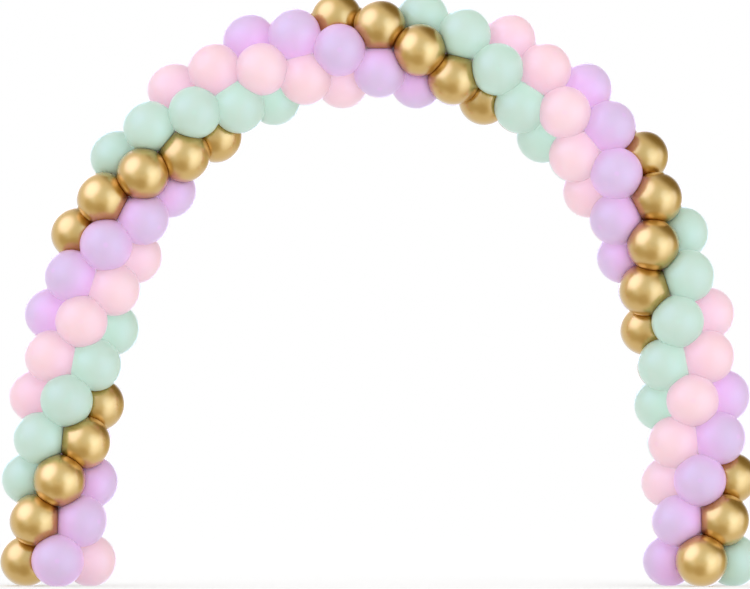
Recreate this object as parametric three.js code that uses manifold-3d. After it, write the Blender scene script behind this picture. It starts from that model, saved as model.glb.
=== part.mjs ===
// A free-standing spiral balloon arch. Clusters of four round balloons, one of each
// colour, are stacked along an arch. Each cluster is turned an eighth of a turn from the
// one below, so it nests in its gaps and each colour winds round the arch as a strand.
//
// Millimetres, +Z up. X runs across the opening, the front faces -Y, and the origin is on
// the floor midway between the two feet.

import * as THREE from 'three';
import { ConvexGeometry } from 'three/addons/geometries/ConvexGeometry.js';
import { mergeVertices } from 'three/addons/utils/BufferGeometryUtils.js';
import Module from 'manifold-3d';

// Driving dimensions.
const BALLOON_DIAMETER = 230; // an 11-inch balloon blown up to about 9 inches
const CLUSTERS = 35; // an odd number, so that both feet stand the same way
const CLUSTER_RADIUS = 139; // from the middle of a cluster to the middle of its balloons
const TWIST = Math.PI / 4; // turn from one cluster to the next
const HALF_SPAN = 1400; // from the middle of the arch to the middle of a foot
const RISE = 2228; // from the middle of a foot cluster to the middle of the crown cluster
const SHOULDER = 2.36; // exponent of the arch line: 2 is an ellipse, more is squarer
const FLOOR_FLAT = 4; // how far the floor presses the lowest balloons flat
const GAP = 0.3; // clearance between balloons that press on each other in two nodes
const RUNS = 15; // solids that each colour's strand is made of

// How finely a balloon is faceted: rings of corners round its crown, in degrees from it.
const CORNER_RINGS = [
  { fromCrown: 33, corners: 6 },
  { fromCrown: 62, corners: 8 },
  { fromCrown: 92, corners: 8 },
  { fromCrown: 130, corners: 4 },
];

// Where each strand starts on the left foot's lowest cluster, as the angle from the front
// towards the inside of the arch, and what its balloons look like.
const STRANDS = [
  { name: 'gold', start: -Math.PI / 2, color: 0xb98f46, roughness: 0.24, metalness: 1 },
  { name: 'lilac', start: 0, color: 0xdcc0ea, roughness: 0.42, metalness: 0 },
  { name: 'pink', start: Math.PI / 2, color: 0xfbcbdc, roughness: 0.42, metalness: 0 },
  { name: 'mint', start: Math.PI, color: 0xbfe6d2, roughness: 0.42, metalness: 0 },
];

const BALLOON_RADIUS = BALLOON_DIAMETER / 2;
const FOOT_HEIGHT = BALLOON_RADIUS - FLOOR_FLAT;
const FRONT = new THREE.Vector3(0, -1, 0);

const wasm = await Module();
wasm.setup();

// The line through the middles of the clusters, from the left foot over the crown to the
// right foot: half of a superellipse.
class ArchLine extends THREE.Curve {
  getPoint(t, target = new THREE.Vector3()) {
    const angle = Math.PI * t;
    const across = Math.abs(Math.cos(angle)) ** (2 / SHOULDER) * Math.sign(Math.cos(angle));
    const up = Math.abs(Math.sin(angle)) ** (2 / SHOULDER);
    return target.set(-HALF_SPAN * across, 0, FOOT_HEIGHT + RISE * up);
  }
}

const archLine = new ArchLine();
archLine.arcLengthDivisions = 2000;

// One balloon: where it is, which way its crown points, and which run of its strand it
// belongs to. The crown points straight away from the middle of the cluster.
function balloon(strand, cluster) {
  const along = cluster / (CLUSTERS - 1);
  const tangent = archLine.getTangentAt(along);
  const inward = new THREE.Vector3(tangent.z, 0, -tangent.x);
  const angle = strand.start + cluster * TWIST;
  const crown = inward.multiplyScalar(Math.sin(angle));
  crown.addScaledVector(FRONT, Math.cos(angle));
  const centre = archLine.getPointAt(along).addScaledVector(crown, CLUSTER_RADIUS);
  const run = Math.ceil((cluster + 1) * RUNS / CLUSTERS);
  return { node: `${strand.name}_balloons_${String(run).padStart(2, '0')}`, centre, crown, tangent };
}

// Corners on the round skin of a balloon, measured from its centre. One corner points at
// each balloon that it is stuck to, so that the two surely join.
function skinCorners({ centre, crown, tangent }, stuckTo) {
  const side = new THREE.Vector3().crossVectors(crown, tangent);
  const corners = [crown.clone(), crown.clone().negate()];
  for (const ring of CORNER_RINGS) {
    const fromCrown = THREE.MathUtils.degToRad(ring.fromCrown);
    for (let i = 0; i < ring.corners; i += 1) {
      const round = 2 * Math.PI * i / ring.corners;
      const corner = crown.clone().multiplyScalar(Math.cos(fromCrown));
      corner.addScaledVector(tangent, Math.sin(fromCrown) * Math.cos(round));
      corner.addScaledVector(side, Math.sin(fromCrown) * Math.sin(round));
      corners.push(corner);
    }
  }
  for (const other of stuckTo) corners.push(other.centre.clone().sub(centre).normalize());
  return corners.map((corner) => corner.multiplyScalar(BALLOON_RADIUS));
}

// Two balloons that press on each other meet on the plane midway between their centres.
// A corner past that plane is drawn back to it, on the line to its balloon's centre.
function pressBack(corner, from, neighbour) {
  const towards = neighbour.centre.clone().sub(from.centre);
  const toPlane = (towards.length() - GAP) / 2;
  const reach = corner.dot(towards.normalize());
  if (reach > toPlane) corner.multiplyScalar(toPlane / reach);
}

function toSolid(geometry) {
  geometry.deleteAttribute('normal');
  geometry.deleteAttribute('uv');
  const merged = mergeVertices(geometry);
  const vertProperties = new Float32Array(merged.attributes.position.array);
  const triVerts = new Uint32Array(merged.index.array);
  return new wasm.Manifold(new wasm.Mesh({ numProp: 3, vertProperties, triVerts }));
}

function toGeometry(solid) {
  const mesh = solid.getMesh();
  const geometry = new THREE.BufferGeometry();
  geometry.setAttribute('position', new THREE.BufferAttribute(mesh.vertProperties, 3));
  geometry.setIndex(new THREE.BufferAttribute(mesh.triVerts, 1));
  return geometry;
}

// The space under the floor, which flattens the lowest balloons, measured from a node.
function underFloor(nodePosition) {
  const size = 4 * BALLOON_DIAMETER;
  const block = new THREE.BoxGeometry(size, size, size);
  block.translate(0, 0, -nodePosition.z - size / 2);
  return toSolid(block);
}

// A balloon with its neighbours, measured from its node's position. Those in other nodes
// press on it, and those in its own node are stuck to it.
function balloonSolid(one, all, nodePosition) {
  const neighbours = all.filter((other) => other !== one
    && other.centre.distanceTo(one.centre) < BALLOON_DIAMETER);
  const stuckTo = neighbours.filter((other) => other.node === one.node);
  const pressing = neighbours.filter((other) => other.node !== one.node);
  const corners = skinCorners(one, stuckTo);
  for (const corner of corners) {
    for (const neighbour of pressing) pressBack(corner, one, neighbour);
    corner.add(one.centre).sub(nodePosition);
  }
  return toSolid(new ConvexGeometry(corners));
}

// Neighbours of one colour that are stuck together as one solid.
function runMesh(members, all, material) {
  const position = members[0].centre;
  let solid = balloonSolid(members[0], all, position);
  for (const member of members.slice(1)) solid = solid.add(balloonSolid(member, all, position));
  const lowest = Math.min(...members.map((member) => member.centre.z));
  if (lowest < BALLOON_RADIUS) solid = solid.subtract(underFloor(position));
  const mesh = new THREE.Mesh(toGeometry(solid), material);
  mesh.name = members[0].node;
  mesh.position.copy(position);
  return mesh;
}

const balloons = [];
for (const strand of STRANDS) {
  for (let cluster = 0; cluster < CLUSTERS; cluster += 1) balloons.push(balloon(strand, cluster));
}

const group = new THREE.Group();
for (const { name, color, roughness, metalness } of STRANDS) {
  const strandBalloons = balloons.filter((one) => one.node.startsWith(name));
  const nodes = new Set(strandBalloons.map((one) => one.node));
  for (const node of nodes) {
    const material = new THREE.MeshStandardMaterial({ color, roughness, metalness });
    const members = strandBalloons.filter((one) => one.node === node);
    group.add(runMesh(members, balloons, material));
  }
}

export default group;
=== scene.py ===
# %% [markdown]
# # A spiral balloon arch
#
# The real thing is 140 round party balloons in four colours. Four balloons, one of each
# colour, are tied into a cluster. The clusters are stacked along an arch, each turned an
# eighth of a turn so that it nests in the gaps of the one below, and that turn makes the
# colours wind round the arch.
#
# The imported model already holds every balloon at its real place, as a faceted solid. This
# lesson puts a smooth skin on each of them: one balloon is modelled once, then copied to
# each place and pressed flat wherever a neighbour touches it.

# %% Load the model
import math
import random

import bmesh
import bpy
from mathutils import Matrix, Vector


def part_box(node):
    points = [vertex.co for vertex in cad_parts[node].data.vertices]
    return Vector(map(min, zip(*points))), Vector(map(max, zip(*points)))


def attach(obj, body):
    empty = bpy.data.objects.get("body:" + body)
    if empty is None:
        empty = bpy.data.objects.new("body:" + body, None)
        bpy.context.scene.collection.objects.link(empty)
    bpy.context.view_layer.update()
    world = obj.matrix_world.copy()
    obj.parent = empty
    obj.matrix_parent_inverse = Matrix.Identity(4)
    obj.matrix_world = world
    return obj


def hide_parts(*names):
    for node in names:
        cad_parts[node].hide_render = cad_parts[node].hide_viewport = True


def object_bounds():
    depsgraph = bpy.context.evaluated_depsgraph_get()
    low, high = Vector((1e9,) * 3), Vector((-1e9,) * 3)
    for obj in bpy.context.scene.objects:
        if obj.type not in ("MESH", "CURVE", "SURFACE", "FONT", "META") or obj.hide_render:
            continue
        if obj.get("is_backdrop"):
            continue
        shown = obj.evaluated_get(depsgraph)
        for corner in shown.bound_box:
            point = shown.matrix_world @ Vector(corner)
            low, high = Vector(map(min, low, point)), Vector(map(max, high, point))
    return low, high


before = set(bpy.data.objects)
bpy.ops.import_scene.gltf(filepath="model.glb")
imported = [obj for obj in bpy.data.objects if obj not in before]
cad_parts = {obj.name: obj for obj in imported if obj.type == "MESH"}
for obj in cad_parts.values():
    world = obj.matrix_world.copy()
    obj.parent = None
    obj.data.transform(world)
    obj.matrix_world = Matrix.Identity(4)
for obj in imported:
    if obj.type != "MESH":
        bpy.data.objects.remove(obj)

model_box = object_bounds()
print("model box, metres:", [round(edge, 3) for corner in model_box for edge in corner])

# %% [markdown]
# ## Sizes
#
# A garland is planned from its balloons. These are 11-inch balloons blown up to 9 inches,
# because a balloon that isn't quite full stays round and can be pressed without bursting.
# The depth of the arch then gives the radius of a cluster, and its width gives the span,
# so both are read from the model's box instead of being typed in again.

# %% Sizes of the balloons and of the arch
BALLOON_RADIUS = 0.115
SKIN_RADIUS = 0.1145  # the smooth skin stays a hair inside the faceted solids
FLOOR_FLAT = 0.004  # how far the floor presses the lowest balloons
TOUCHING_GAP = 0.00004  # air left between two pressed skins
CLUSTERS = 35
TWIST = math.pi / 4

CLUSTER_RADIUS = model_box[1].y - BALLOON_RADIUS
HALF_SPAN = model_box[1].x - CLUSTER_RADIUS - BALLOON_RADIUS
RISE = 2.228  # from the middle of a foot cluster to the middle of the crown cluster
SHOULDER = 2.36  # 2 would be an ellipse, and more makes the arch's shoulders squarer
FOOT_HEIGHT = BALLOON_RADIUS - FLOOR_FLAT

print(f"cluster radius {CLUSTER_RADIUS:.3f} m, half span {HALF_SPAN:.3f} m")

# %% [markdown]
# ## Where the balloons go
#
# The middles of the clusters lie on half of a superellipse, which is an ellipse with
# fuller shoulders. Its formula doesn't give even steps, so the line is measured first:
# many short chords are added up, and each cluster is then placed at its share of the whole
# length. Stepping by angle instead would crowd the clusters at the shoulders.

# %% The arch line
CHORDS = 2000  # enough to measure the line to well under a millimetre


def arch_point(share):
    """A point on the arch line, for a share from 0 at the left foot to 1 at the right."""
    angle = math.pi * share
    across = math.copysign(abs(math.cos(angle)) ** (2 / SHOULDER), math.cos(angle))
    up = abs(math.sin(angle)) ** (2 / SHOULDER)
    return Vector((-HALF_SPAN * across, 0, FOOT_HEIGHT + RISE * up))


def measured_lengths():
    """The length of the line from the left foot to the end of each short chord."""
    lengths = [0.0]
    before = arch_point(0)
    for i in range(1, CHORDS + 1):
        point = arch_point(i / CHORDS)
        lengths.append(lengths[-1] + (point - before).length)
        before = point
    return lengths


LENGTHS = measured_lengths()
print(f"arch line {LENGTHS[-1]:.3f} m, one cluster every {LENGTHS[-1] / (CLUSTERS - 1):.3f} m")

# %% Even steps along the line
A_MOMENT = 0.0001  # a small share of the line, to find its direction


def at_length(length):
    """The place on the line at this length, and the direction in which it runs there."""
    i = next(i for i in range(CHORDS) if LENGTHS[i + 1] >= length or i == CHORDS - 1)
    part = (length - LENGTHS[i]) / (LENGTHS[i + 1] - LENGTHS[i])
    share = (i + part) / CHORDS
    ahead = arch_point(min(share + A_MOMENT, 1))
    behind = arch_point(max(share - A_MOMENT, 0))
    return arch_point(share), (ahead - behind).normalized()


STEPS = [at_length(LENGTHS[-1] * i / (CLUSTERS - 1)) for i in range(CLUSTERS)]
print("crown cluster at height", round(STEPS[CLUSTERS // 2][0].z, 3), "m")

# %% [markdown]
# ## The four strands
#
# In the lowest cluster of the left foot, gold is on the outside, lilac in front, pink on
# the inside and mint at the back. From there every strand turns by an eighth per cluster.
# A balloon's crown is the round end away from its knot. The knots are tied together in the
# middle of the cluster, so each crown points straight outwards.

# %% Places of the balloons
STRAND_START = {"gold": -math.pi / 2, "lilac": 0, "pink": math.pi / 2, "mint": math.pi}
RUNS = 15  # pieces that each strand is made of, as in the model
FRONT = Vector((0, -1, 0))
UP = Vector((0, 0, 1))


def balloon_place(strand, cluster):
    """Centre, crown direction and line direction of one balloon, and its model node."""
    middle, along = STEPS[cluster]
    inward = Vector((along.z, 0, -along.x))
    angle = STRAND_START[strand] + cluster * TWIST
    crown = inward * math.sin(angle) + FRONT * math.cos(angle)
    run = math.ceil((cluster + 1) * RUNS / CLUSTERS)
    return {
        "node": f"{strand}_balloons_{run:02d}",
        "strand": strand,
        "run": run,
        "centre": middle + crown * CLUSTER_RADIUS,
        "crown": crown,
        "along": along,
    }


BALLOONS = [balloon_place(strand, i) for strand in STRAND_START for i in range(CLUSTERS)]
print(len(BALLOONS), "places in", len({one["node"] for one in BALLOONS}), "nodes")

# %% Compare the places with the model
worst = 0.0
for node in sorted({one["node"] for one in BALLOONS}):
    low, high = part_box(node)
    members = [one["centre"] for one in BALLOONS if one["node"] == node]
    for axis in range(3):
        reach_low = min(centre[axis] for centre in members) - BALLOON_RADIUS
        reach_high = max(centre[axis] for centre in members) + BALLOON_RADIUS
        worst = max(worst, reach_low - low[axis], high[axis] - reach_high)
print(f"the model's solids stand out of the balloons by {worst * 1000:.3f} mm")

# %% [markdown]
# ## One balloon
#
# A balloon is round over most of its skin, and near the knot it draws in to a short neck
# with a knot and a rolled lip. It is a shape of revolution, so its outline is made once
# and spun. The round part of the outline is itself a point spun through an arc, and only
# the neck is a handful of points. A ready-made sphere would have no neck, and its pole
# would look up instead of along the crown.
#
# Every point also stores how far round it is from the crown, from 0 to 1, and the material
# reads that number to know where it is. The latex is thicker at the crown's spot and at the
# neck, which deepens its colour there. Over the sides the colour is made stronger too. On
# the pastel balloons that is painted light: it stands in for light glowing through the latex
# at the edges, and offsets the shade in the creases between balloons.

# %% The balloon's outline, spun round
ARC_END = math.radians(148)  # where the round part goes over into the neck
ARC_STEPS = 30
AROUND = 64
MERGE_DISTANCE = 1e-5  # points closer than this are one point
NECK = [  # radius, and distance from the balloon's centre: neck, knot, then the rolled lip
    (0.0490, 0.1020),
    (0.0350, 0.1080),
    (0.0205, 0.1135),
    (0.0105, 0.1180),
    (0.0055, 0.1220),
    (0.0070, 0.1250),
    (0.0072, 0.1275),
    (0.0040, 0.1295),
    (0.0036, 0.1310),
    (0.0020, 0.1325),
    (0.0000, 0.1328),
]


def balloon_outline(bm):
    """Half of the balloon's outline in the X-Z plane, crown up at +Z."""
    crown = bm.verts.new((0, 0, SKIN_RADIUS))
    arc = bmesh.ops.spin(
        bm, geom=[crown], cent=(0, 0, 0), axis=(0, 1, 0), dvec=(0, 0, 0),
        angle=ARC_END, steps=ARC_STEPS, use_merge=False, use_duplicate=False,
    )
    last = next(part for part in arc["geom_last"] if isinstance(part, bmesh.types.BMVert))
    for radius, distance in NECK:
        following = bm.verts.new((radius, 0, -distance))
        bm.edges.new((last, following))
        last = following


def balloon_blank():
    """A whole balloon at the origin, as a mesh to copy from."""
    bm = bmesh.new()
    balloon_outline(bm)
    bmesh.ops.spin(
        bm, geom=bm.verts[:] + bm.edges[:], cent=(0, 0, 0), axis=(0, 0, 1),
        dvec=(0, 0, 0), angle=2 * math.pi, steps=AROUND, use_merge=True,
        use_duplicate=False,
    )
    bmesh.ops.remove_doubles(bm, verts=bm.verts, dist=MERGE_DISTANCE)
    bmesh.ops.recalc_face_normals(bm, faces=bm.faces)
    from_crown = bm.verts.layers.float.new("from_crown")
    for vert in bm.verts:
        vert[from_crown] = vert.co.angle(UP) / math.pi
    blank = bpy.data.meshes.new("balloon_blank")
    bm.to_mesh(blank)
    print("balloon:", len(bm.verts), "points, closed:", all(e.is_manifold for e in bm.edges))
    bm.free()
    return blank


BLANK = balloon_blank()

# %% [markdown]
# ## Pressing balloons together
#
# Two equal balloons that are pushed together meet on a flat patch midway between them. A
# boolean with every neighbour would cut such patches, but it is slow and leaves sliver
# faces. Here a plane cut only adds points along the edge of each patch, and then every
# point past the patch is drawn back to it, towards the balloon's centre. A real skin
# leaves the patch in a soft curve, so the points along the edge are drawn back a little
# too.

# %% Neighbours and their patches
EDGE_SOFTNESS = 0.0015  # how far from a patch the skin starts to bend


def patches_on(one):
    """Direction and distance of each flat patch on a balloon, seen from its centre."""
    patches = []
    for other in BALLOONS:
        apart = other["centre"] - one["centre"]
        if 0 < apart.length < 2 * BALLOON_RADIUS:
            patches.append((apart.normalized(), (apart.length - TOUCHING_GAP) / 2))
    if one["centre"].z < BALLOON_RADIUS:
        patches.append((-UP, one["centre"].z))
    return patches


patch_counts = [len(patches_on(one)) for one in BALLOONS]
print("patches on a balloon: from", min(patch_counts), "to", max(patch_counts))

# %% Pressing one skin
def softly_less(reach, limit, softness):
    """The smaller of two lengths, with a soft change from one to the other."""
    closeness = max(softness - abs(reach - limit), 0) / softness
    return min(reach, limit) - closeness * closeness * softness / 4


def cut_edges(bm, centre, patches):
    """Adds points to a skin along the edge of every patch."""
    for direction, limit in patches:
        bmesh.ops.bisect_plane(
            bm, geom=bm.verts[:] + bm.edges[:] + bm.faces[:], dist=MERGE_DISTANCE,
            plane_co=centre + direction * limit, plane_no=direction,
            clear_inner=False, clear_outer=False,
        )


def press(bm, centre, patches):
    """Draws points past a patch back to it, on the line to the balloon's centre."""
    for vert in bm.verts:
        place = vert.co - centre
        for direction, limit in patches:
            reach = place.dot(direction)
            if reach > limit - EDGE_SOFTNESS:
                place *= softly_less(reach, limit, EDGE_SOFTNESS) / reach
        vert.co = centre + place


edge_draw = -softly_less(0, 0, EDGE_SOFTNESS)
print(f"skin at the edge of a patch is drawn back {edge_draw * 1000:.3f} mm")

# %% [markdown]
# ## The pieces
#
# The model keeps each strand in runs of two or three balloons, so the skins are made in
# the same runs, one piece for each node. Within a piece every balloon is a closed skin of
# its own, as the real ones are. No two balloons are blown up quite the same, so each one
# also carries a shade of its own, as a number on its points for the material to read.

# %% One balloon, then one piece of a strand
SHADES = random.Random(35)


def balloon_skin(one):
    """A mesh of one balloon in its place, pressed by its neighbours."""
    bm = bmesh.new()
    bm.from_mesh(BLANK)
    side = one["crown"].cross(one["along"])
    turn = Matrix((one["along"], side, one["crown"])).transposed().to_4x4()
    bmesh.ops.transform(bm, matrix=Matrix.Translation(one["centre"]) @ turn, verts=bm.verts)
    patches = patches_on(one)
    cut_edges(bm, one["centre"], patches)
    press(bm, one["centre"], patches)
    shade = bm.verts.layers.float.new("shade")
    own_shade = SHADES.uniform(0, 1)
    for vert in bm.verts:
        vert[shade] = own_shade
    skin = bpy.data.meshes.new("skin")
    bm.to_mesh(skin)
    bm.free()
    return skin


def strand_piece(strand, run, material):
    """The balloons of one run of a strand, as one object that replaces the run's node."""
    members = [one for one in BALLOONS if one["strand"] == strand and one["run"] == run]
    bm = bmesh.new()
    for one in members:
        skin = balloon_skin(one)
        bm.from_mesh(skin)
        bpy.data.meshes.remove(skin)
    for face in bm.faces:
        face.smooth = True
    name = f"{strand}_skins_{run:02d}"
    mesh = bpy.data.meshes.new(name)
    bm.to_mesh(mesh)
    bm.free()
    mesh.materials.append(material)
    piece = bpy.data.objects.new(name, mesh)
    bpy.context.scene.collection.objects.link(piece)
    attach(piece, "root")
    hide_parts(members[0]["node"])
    return piece


# %% [markdown]
# ## Latex
#
# All four finishes share what the skin does. The colour is deeper towards the neck and on
# the small spot at the crown, where the latex is less stretched, and stronger over the
# sides, which on the pastels is painted light: glow through the latex that offsets the
# shade in the creases. Uneven dipping leaves a faint cloudiness, the surface has a powdery
# grain too fine to see from afar, and no two balloons have quite the same shade. That is
# one node group, which each material uses with values of its own. Painting four separate
# materials would take four times the work, and they would drift apart.

# %% Helpers for nodes
def add_node(tree, kind, inputs=None, **settings):
    """Adds a node with its settings, and puts values on its sockets."""
    made = tree.nodes.new(kind)
    for name, value in settings.items():
        setattr(made, name, value)
    for name, value in (inputs or {}).items():
        made.inputs[name].default_value = value
    return made


def maths(tree, operation, *terms, use_clamp=False):
    """A Math node. Each term is a number or the output of another node."""
    made = add_node(tree, "ShaderNodeMath", operation=operation, use_clamp=use_clamp)
    for i, term in enumerate(terms):
        if isinstance(term, bpy.types.NodeSocket):
            tree.links.new(term, made.inputs[i])
        else:
            made.inputs[i].default_value = term
    return made.outputs[0]


def fade(tree, value, start, end, top=1.0):
    """Rises softly from 0 to top while the value goes from start to end."""
    made = add_node(
        tree, "ShaderNodeMapRange", interpolation_type="SMOOTHSTEP",
        inputs={"From Min": start, "From Max": end, "To Max": top},
    )
    tree.links.new(value, made.inputs["Value"])
    return made.outputs["Result"]


# %% Deeper colour towards the neck and at the crown, and painted glow over the sides
DEEPER_FROM = 0.12  # all of these as from_crown counts: 0 at the crown, 1 at the neck
DEEPER_TO = 0.62
SPOT_EDGE = 0.045
SPOT_MIDDLE = 0.015
SPOT_DEPTH = 0.3  # how much of the deep colour the crown's spot gets


def depth_and_painted_glow(tree):
    """How deep the colour is at each place, from 0 to 1: thicker latex at the neck and
    crown spot, and painted glow over the sides.
    """
    from_crown = add_node(tree, "ShaderNodeAttribute", attribute_name="from_crown")
    place = from_crown.outputs["Fac"]
    # The rise over the sides is painted light: on the pastels it stands in for light glowing
    # through the latex, and it offsets the shade in the creases.
    painted_sides_and_neck = fade(tree, place, DEEPER_FROM, DEEPER_TO)
    crown_spot = fade(tree, place, SPOT_EDGE, SPOT_MIDDLE, SPOT_DEPTH)
    return maths(tree, "MAXIMUM", painted_sides_and_neck, crown_spot)


# %% Clouds and grain
CLOUD_SCALE = 14  # clouds about 70 mm across
GRAIN_SCALE = 900  # grain about 1 mm across


def noise(tree, scale, detail):
    """Noise that is fixed to the balloons, around 0.5."""
    place = tree.nodes.new("ShaderNodeTexCoord")
    made = add_node(tree, "ShaderNodeTexNoise", inputs={"Scale": scale, "Detail": detail})
    tree.links.new(place.outputs["Object"], made.inputs["Vector"])
    return made.outputs["Fac"]


# %% A shade of its own for each balloon
def own_shade(tree, colour, shade_range):
    """Darkens a colour by up to the shade range, as the balloon's stored number says."""
    stored = add_node(tree, "ShaderNodeAttribute", attribute_name="shade")
    value = tree.nodes.new("ShaderNodeMapRange")
    tree.links.new(stored.outputs["Fac"], value.inputs["Value"])
    tree.links.new(maths(tree, "SUBTRACT", 1.0, shade_range), value.inputs["To Min"])
    shaded = tree.nodes.new("ShaderNodeHueSaturation")
    tree.links.new(value.outputs["Result"], shaded.inputs["Value"])
    tree.links.new(colour, shaded.inputs["Color"])
    return shaded.outputs["Color"]


# %% The latex node group
ROUGHNESS_CHANGE = 0.08  # how strongly the clouds change the roughness


def latex_group():
    """The node group that all four finishes use."""
    tree = bpy.data.node_groups.new("latex_skin", "ShaderNodeTree")
    socket = tree.interface.new_socket
    for name in ("Thin Colour", "Deep Colour"):
        socket(name, in_out="INPUT", socket_type="NodeSocketColor")
    for name in ("Cloudiness", "Shade Range", "Roughness"):
        socket(name, in_out="INPUT", socket_type="NodeSocketFloat")
    socket("Colour", in_out="OUTPUT", socket_type="NodeSocketColor")
    for name in ("Roughness", "Grain"):
        socket(name, in_out="OUTPUT", socket_type="NodeSocketFloat")
    given = tree.nodes.new("NodeGroupInput").outputs
    result = tree.nodes.new("NodeGroupOutput").inputs

    clouds = maths(tree, "SUBTRACT", noise(tree, CLOUD_SCALE, detail=3.0), 0.5)
    # Thin to deep colour by the mask: deeper latex at neck and crown, painted glow over the
    # sides, with clouds.
    depth_glow_and_clouds = maths(
        tree, "MULTIPLY_ADD", clouds, given["Cloudiness"], depth_and_painted_glow(tree), use_clamp=True,
    )
    colour = add_node(tree, "ShaderNodeMix", data_type="RGBA")
    tree.links.new(depth_glow_and_clouds, colour.inputs["Factor"])
    tree.links.new(given["Thin Colour"], colour.inputs["A"])
    tree.links.new(given["Deep Colour"], colour.inputs["B"])
    shaded = own_shade(tree, colour.outputs["Result"], given["Shade Range"])
    tree.links.new(shaded, result["Colour"])

    roughness = maths(
        tree, "MULTIPLY_ADD", clouds, ROUGHNESS_CHANGE, given["Roughness"], use_clamp=True,
    )
    tree.links.new(roughness, result["Roughness"])
    tree.links.new(noise(tree, GRAIN_SCALE, detail=2.0), result["Grain"])
    return tree


LATEX = latex_group()
print("latex group with", len(LATEX.nodes), "nodes")

# %% [markdown]
# ## Pastel and chrome finishes
#
# A pastel balloon is matte with a faint sheen, and it glows. Light that enters on one side
# is scattered all through it, and some of it goes on into its neighbours, so the creases
# between pastel balloons stay pale. Plain diffuse paint would leave them grey. So the
# light scatters deep under the skin, a thin tinted coat deepens the colour where the skin
# is seen at a slant, and the rays that gather soft light are let through. The stronger
# colour that the latex group paints over the sides adds painted light of the same kind.
#
# A chrome balloon has metal flakes in the skin, which scatter light broadly, under glossy
# latex, which adds a paler and tighter highlight. The two layers together are what tells
# chrome latex from a polished metal ball.

# %% What all latex shares
def latex_material(name, thin, deep, roughness, cloudiness, shade_range):
    """A material that takes its colour, roughness and grain from the latex group."""
    material = bpy.data.materials.new(name)
    material.use_nodes = True
    tree = material.node_tree
    skin = tree.nodes["Principled BSDF"]
    latex = add_node(tree, "ShaderNodeGroup", node_tree=LATEX)
    latex.inputs["Thin Colour"].default_value = (*thin, 1)
    latex.inputs["Deep Colour"].default_value = (*deep, 1)
    latex.inputs["Roughness"].default_value = roughness
    latex.inputs["Cloudiness"].default_value = cloudiness
    latex.inputs["Shade Range"].default_value = shade_range
    bump = add_node(tree, "ShaderNodeBump", inputs={"Strength": 0.08, "Distance": 0.0002})
    tree.links.new(latex.outputs["Colour"], skin.inputs["Base Color"])
    tree.links.new(latex.outputs["Roughness"], skin.inputs["Roughness"])
    tree.links.new(latex.outputs["Grain"], bump.inputs["Height"])
    tree.links.new(bump.outputs["Normal"], skin.inputs["Normal"])
    return material, skin


# %% Pastel latex
LET_THROUGH = 0.98  # share of the soft light that one skin lets through


def let_light_through(material, skin):
    """Opens the skin for the rays that gather soft light, and for no others."""
    tree = material.node_tree
    open_skin = add_node(
        tree, "ShaderNodeBsdfTransparent",
        inputs={"Color": (LET_THROUGH, LET_THROUGH, LET_THROUGH, 1)},
    )
    either = tree.nodes.new("ShaderNodeMixShader")
    ray = tree.nodes.new("ShaderNodeLightPath")
    tree.links.new(ray.outputs["Is Diffuse Ray"], either.inputs["Fac"])
    tree.links.new(skin.outputs["BSDF"], either.inputs[1])
    tree.links.new(open_skin.outputs["BSDF"], either.inputs[2])
    tree.links.new(either.outputs["Shader"], tree.nodes["Material Output"].inputs["Surface"])


def pastel(name, thin, deep, coat_tint):
    """Matte latex that glows, with a faint sheen."""
    material, skin = latex_material(
        name, thin, deep, roughness=0.48, cloudiness=0.5, shade_range=0.03,
    )
    let_light_through(material, skin)
    skin.inputs["Subsurface Weight"].default_value = 1.0
    skin.inputs["Subsurface Radius"].default_value = (0.060, 0.050, 0.050)
    skin.inputs["Subsurface Scale"].default_value = 1.0
    skin.inputs["Coat Weight"].default_value = 1.0
    skin.inputs["Coat Roughness"].default_value = 0.28
    skin.inputs["Coat IOR"].default_value = 1.35
    skin.inputs["Coat Tint"].default_value = (*coat_tint, 1)
    return material


# %% Chrome latex
def chrome(name, thin, deep):
    """Latex with metal flakes in it, under a glossy outer skin."""
    material, skin = latex_material(
        name, thin, deep, roughness=0.31, cloudiness=0.4, shade_range=0.05,
    )
    skin.inputs["Metallic"].default_value = 1.0
    skin.inputs["Coat Weight"].default_value = 1.0
    skin.inputs["Coat Roughness"].default_value = 0.2
    skin.inputs["Coat IOR"].default_value = 1.8
    return material


# %% The four colours
# Thin colour, then deep colour. The pastels' deep colours are painted light in part: over the
# sides they stand in for glow through the latex and offset the shade in the creases.
FINISHES = {
    "gold": chrome("chrome_gold_latex", (0.70, 0.425, 0.09), (0.60, 0.35, 0.055)),
    "lilac": pastel("lilac_latex", (0.70, 0.61, 0.77), (0.85, 0.575, 0.89), (1.0, 0.90, 1.0)),
    "pink": pastel("pink_latex", (0.94, 0.75, 0.75), (0.96, 0.69, 0.785), (1.0, 0.90, 0.965)),
    "mint": pastel("mint_latex", (0.625, 0.73, 0.67), (0.61, 0.775, 0.70), (0.92, 1.0, 0.96)),
}
print("finishes:", ", ".join(material.name for material in FINISHES.values()))

# %% [markdown]
# ## Dressing the arch
#
# Each strand now gets its finish, and each of its pieces replaces the faceted solid that it
# stands for. Spheres from the Add menu would be quicker, but they would run through each
# other where real balloons press each other flat.

# %% All the skins
PIECES = [
    strand_piece(strand, run, FINISHES[strand])
    for strand in STRAND_START
    for run in range(1, RUNS + 1)
]
triangles = sum(len(face.vertices) - 2 for piece in PIECES for face in piece.data.polygons)
print(len(PIECES), "pieces,", triangles, "triangles")

# %% [markdown]
# ## The floor
#
# The arch stands on a seamless white floor, as in a studio. The floor is far larger than
# the arch, so that its edge never shows, and it is left out of reflections, so that the
# chrome skins mirror only the lights.

# %% Floor
FLOOR_HALF_WIDTH = 60.0


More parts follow.
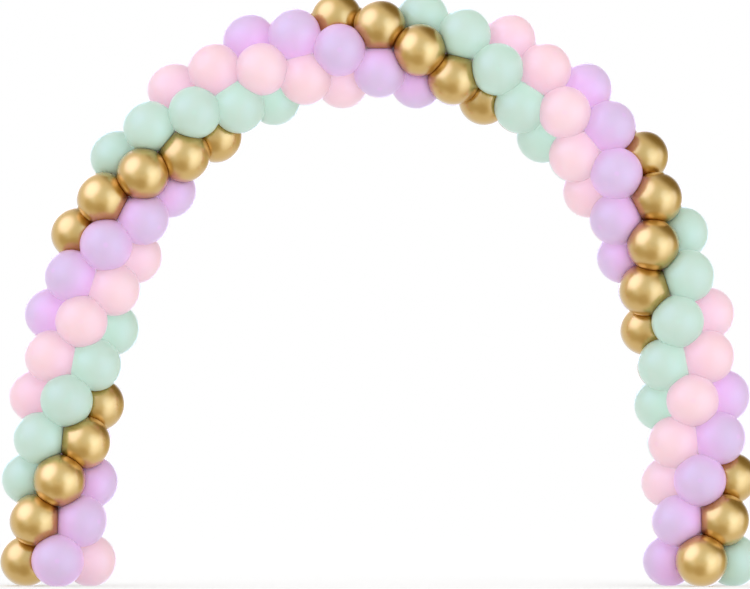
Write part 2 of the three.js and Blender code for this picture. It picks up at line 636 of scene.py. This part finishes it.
def white_floor():
    """A large matte floor at the height that the balloons stand on."""
    paint = bpy.data.materials.new("white_floor")
    paint.use_nodes = True
    coat = paint.node_tree.nodes["Principled BSDF"]
    coat.inputs["Base Color"].default_value = (1.0, 1.0, 1.0, 1)
    coat.inputs["Roughness"].default_value = 1.0
    coat.inputs["Specular IOR Level"].default_value = 0.0
    bm = bmesh.new()
    bmesh.ops.create_grid(bm, x_segments=1, y_segments=1, size=FLOOR_HALF_WIDTH)
    mesh = bpy.data.meshes.new("floor")
    bm.to_mesh(mesh)
    bm.free()
    mesh.materials.append(paint)
    floor = bpy.data.objects.new("floor", mesh)
    bpy.context.scene.collection.objects.link(floor)
    floor.visible_glossy = False
    return floor


white_floor()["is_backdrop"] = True
print("floor", 2 * FLOOR_HALF_WIDTH, "m wide")

# %% [markdown]
# ## The sky
#
# Pastel balloons want light from everywhere, so for soft light the sky is an even white.
# Chrome balloons want something to mirror. A real studio is full of soft boxes and dark
# screens. They could stand here as panels, but panels would light the pastels too, so they
# are painted on the sky, and only reflections see them. Every balloon sees them in the
# same directions, so all chrome ones show the same highlights: a big one high on the left,
# a tall one on the right, and a dark edge at the top right. The boxes are bluer than
# daylight, because gold swallows blue, and white ones would leave orange highlights.

# %% Soft boxes and dark screens
STUDIO = (0.88, 0.91, 0.95)  # colour of the rest of the studio
SPOT_CORE = 0.4  # a spot is full up to this share of its half width
SPOT_RIM = 1.4  # and gone at this one
DARK_SCREENS = [  # compass angle, height, half width in degrees, and the share of light left
    (124, 46, 36, (0.27, 0.20, 0.08)),
    (120, -2, 24, (0.72, 0.64, 0.40)),
    (-12, -46, 26, (0.66, 0.58, 0.44)),
    (-66, -24, 24, (0.70, 0.64, 0.50)),
]
SOFT_BOXES = [  # the same, with the light that is added
    (-60, 36, 32, (1.0, 1.2, 2.5)),
    (-46, -2, 16, (0.12, 0.24, 0.45)),
    (5, 25, 30, (0.0, 0.1, 0.3)),
    (42, 10, 22, (0.5, 0.74, 1.4)),
    (46, -12, 22, (0.27, 0.40, 0.74)),
    (50, -30, 22, (0.36, 0.48, 0.86)),
    (80, 4, 20, (0.45, 0.60, 1.1)),
    (86, -22, 14, (0.12, 0.2, 0.4)),
    (-166, 20, 18, (1.3, 1.5, 2.7)),
    (166, -6, 15, (0.85, 1.0, 1.8)),
]


def towards(compass, height):
    """A direction: compass 0 is the front, 90 is the right, and height is above level."""
    level = Vector((math.sin(math.radians(compass)), -math.cos(math.radians(compass)), 0))
    return level * math.cos(math.radians(height)) + UP * math.sin(math.radians(height))


def soft_cone(tree, facing, compass, height, half_width):
    """A mask that is 1 in the middle of a cone of directions and fades to 0 outside it."""
    dot = add_node(tree, "ShaderNodeVectorMath", operation="DOT_PRODUCT")
    dot.inputs[1].default_value = towards(compass, height)
    tree.links.new(facing, dot.inputs[0])
    rim = math.cos(math.radians(half_width * SPOT_RIM))
    core = math.cos(math.radians(half_width * SPOT_CORE))
    return fade(tree, dot.outputs["Value"], rim, core)


def painted_studio(tree):
    """The colour of the studio in each direction, with its screens and boxes."""
    facing = tree.nodes.new("ShaderNodeTexCoord").outputs["Generated"]
    colour = add_node(tree, "ShaderNodeRGB").outputs[0]
    colour.default_value = (*STUDIO, 1)
    for blend, spots in (("MULTIPLY", DARK_SCREENS), ("ADD", SOFT_BOXES)):
        for compass, height, half_width, tint in spots:
            spot = add_node(tree, "ShaderNodeMix", data_type="RGBA", blend_type=blend)
            spot.inputs["B"].default_value = (*tint, 1)
            cone = soft_cone(tree, facing, compass, height, half_width)
            tree.links.new(cone, spot.inputs["Factor"])
            tree.links.new(colour, spot.inputs["A"])
            colour = spot.outputs["Result"]
    return colour


# %% White for all rays but reflections
def studio_sky():
    """A white sky, in which reflections alone see the painted studio."""
    world = bpy.data.worlds.new("studio")
    world.use_nodes = True
    world.cycles.sampling_method = "NONE"  # so that every ray takes the sky made for its kind
    tree = world.node_tree
    ray = tree.nodes.new("ShaderNodeLightPath")
    sky = add_node(tree, "ShaderNodeMix", data_type="RGBA")
    sky.inputs["A"].default_value = (1, 1, 1, 1)
    tree.links.new(ray.outputs["Is Glossy Ray"], sky.inputs["Factor"])
    tree.links.new(painted_studio(tree), sky.inputs["B"])
    tree.links.new(sky.outputs["Result"], tree.nodes["Background"].inputs["Color"])
    return world


bpy.context.scene.world = studio_sky()
print("sky with", len(DARK_SCREENS), "dark screens and", len(SOFT_BOXES), "soft boxes")

# %% [markdown]
# ## Key light and camera
#
# An even sky alone makes round things look flat. A large soft lamp at the front right,
# above head height, gives them a light and a shaded side. A lamp as wide as the arch is
# high keeps the shadows soft. The camera stands a long way off and looks through a long
# lens. From close by, parts of the balloons at the back would show past those in front.

# %% Key light
KEY_PLACE = Vector((3.5, -7.0, 4.5))  # from the middle of the arch
KEY_DIAMETER = 5.0
KEY_WATTS = 60
MIDDLE = (model_box[0] + model_box[1]) / 2


def aim(thing, target):
    """Turns a lamp or a camera towards a point."""
    thing.rotation_euler = (target - thing.location).to_track_quat("-Z", "Y").to_euler()


key_light = bpy.data.lights.new("key", "AREA")
key_light.shape = "DISK"
key_light.size = KEY_DIAMETER
key_light.energy = KEY_WATTS
key = bpy.data.objects.new("key", key_light)
key.location = MIDDLE + KEY_PLACE
key.visible_glossy = False
key.visible_camera = False
aim(key, MIDDLE)
bpy.context.scene.collection.objects.link(key)
print("key light at", [round(x, 2) for x in key.location])

# %% Camera
VIEW_WIDTH = 3.267  # how much of the arch's plane the picture takes in
VIEW_CENTRE = Vector((-0.020, 0, 1.269))
CAMERA_DISTANCE = 80.0

lens = bpy.data.cameras.new("camera")
lens.sensor_width = 36
lens.lens = lens.sensor_width * CAMERA_DISTANCE / VIEW_WIDTH
lens.clip_end = 2 * CAMERA_DISTANCE + FLOOR_HALF_WIDTH
camera = bpy.data.objects.new("camera", lens)
camera.location = VIEW_CENTRE + FRONT * CAMERA_DISTANCE
aim(camera, VIEW_CENTRE)
bpy.context.scene.collection.objects.link(camera)
bpy.context.scene.camera = camera
bpy.context.scene.view_settings.view_transform = "Standard"
print("lens", round(lens.lens), "mm")

# %% [markdown]
# ## Last check
#
# The skins must not reach outside the model, because whoever uses the part plans with the
# model's box. How far the skins reach past it on each side is printed.

# %% Sizes and finish
skin_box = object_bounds()
over = [round((skin_box[1][i] - model_box[1][i]) * 1000, 2) for i in range(3)]
under = [round((model_box[0][i] - skin_box[0][i]) * 1000, 2) for i in range(3)]
print("skins past the model's box, mm:", over, under)
